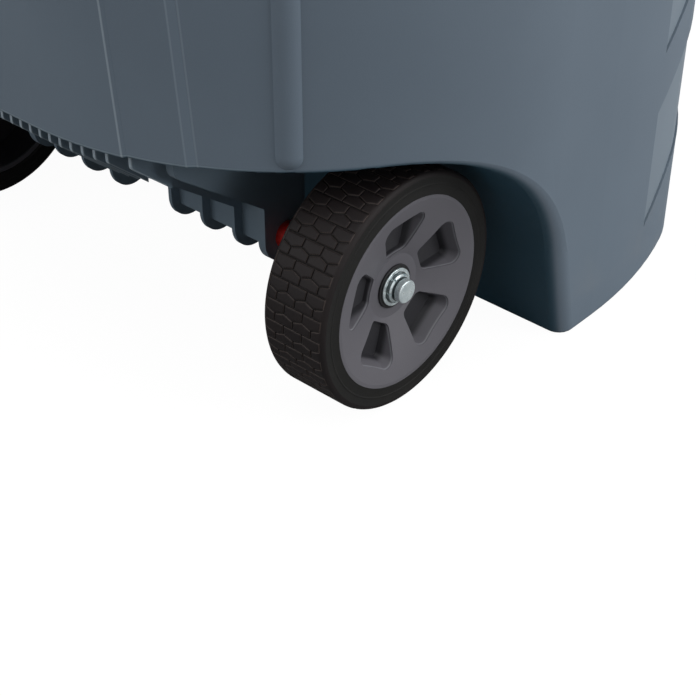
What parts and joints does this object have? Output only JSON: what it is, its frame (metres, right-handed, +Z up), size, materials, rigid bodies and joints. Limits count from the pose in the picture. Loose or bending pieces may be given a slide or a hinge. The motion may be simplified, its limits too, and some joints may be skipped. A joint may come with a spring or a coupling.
{
  "type": "deck storage box",
  "caption": "Wheeled moulded deck storage box with a hinged lid, a stepped base over a ribbed axle carrier, dished wheels, a swinging pull handle and padlock plates.",
  "frame": {"origin": "on the ground under the middle of the whole box", "axes": "+X along the axle, -Y towards the wheels and hinges, +Y towards the feet and handle, +Z up"},
  "size_m": [0.6314, 0.588, 0.6],
  "materials": {
    "body_plastic": "slate grey moulded plastic, satin",
    "carrier_plastic": "dark slate moulded plastic",
    "tyre_rubber": "black solid rubber with block tread",
    "rim_plastic": "mid grey moulded plastic",
    "black_plastic": "black moulded plastic",
    "red_plastic": "red moulded plastic",
    "zinc": "zinc plated steel",
    "hinge_steel": "black coated steel",
    "lock_steel": "zinc plated steel",
    "handle_metal": "black coated steel",
    "grip_rubber": "black ringed rubber"
  },
  "bodies": {
    "base": {"tub": "body_plastic", "axle_carrier": "carrier_plastic", "carrier_screws": "zinc", "axle": "zinc", "axle_bush_right": "red_plastic", "axle_bush_left": "red_plastic", "axle_spacer_right": "black_plastic", "axle_spacer_left": "black_plastic", "axle_washer_right": "zinc", "axle_washer_left": "zinc", "push_nut_right": "zinc", "push_nut_left": "zinc", "hinge_tub_leaf_right": "hinge_steel", "hinge_tub_leaf_left": "hinge_steel", "hinge_pin_right": "zinc", "hinge_pin_left": "zinc", "hinge_screws": "zinc", "handle_bracket_right": "handle_metal", "handle_bracket_left": "handle_metal", "handle_pin_right": "zinc", "handle_pin_left": "zinc", "handle_screws": "zinc", "lock_staple": "lock_steel", "staple_screws": "zinc"},
    "lid": {"lid": "body_plastic", "hinge_lid_leaf_right": "hinge_steel", "hinge_lid_leaf_left": "hinge_steel", "lid_hinge_screws": "zinc", "lock_hasp": "lock_steel", "lock_screws": "zinc"},
    "handle": {"pull_handle": "handle_metal", "handle_grip": "grip_rubber"},
    "wheel_right": {"wheel_rim_right": "rim_plastic", "tyre_right": "tyre_rubber", "hub_bush_right": "black_plastic"},
    "wheel_left": {"wheel_rim_left": "rim_plastic", "tyre_left": "tyre_rubber", "hub_bush_left": "black_plastic"}
  },
  "joints": [
    {"name": "lid_hinge", "type": "hinge", "parent": "base", "child": "lid", "pos_m": [0, -0.28697, 0.531], "axis": [1, 0, 0], "range_deg": [0, 100]},
    {"name": "handle_swing", "type": "hinge", "parent": "base", "child": "handle", "pos_m": [0, 0.27997, 0.43985], "axis": [1, 0, 0], "range_deg": [0, 95]},
    {"name": "wheel_right_spin", "type": "hinge", "parent": "base", "child": "wheel_right", "pos_m": [0.223, -0.11528, 0.089], "axis": [1, 0, 0], "continuous": true},
    {"name": "wheel_left_spin", "type": "hinge", "parent": "base", "child": "wheel_left", "pos_m": [-0.223, -0.11528, 0.089], "axis": [1, 0, 0], "continuous": true}
  ]
}
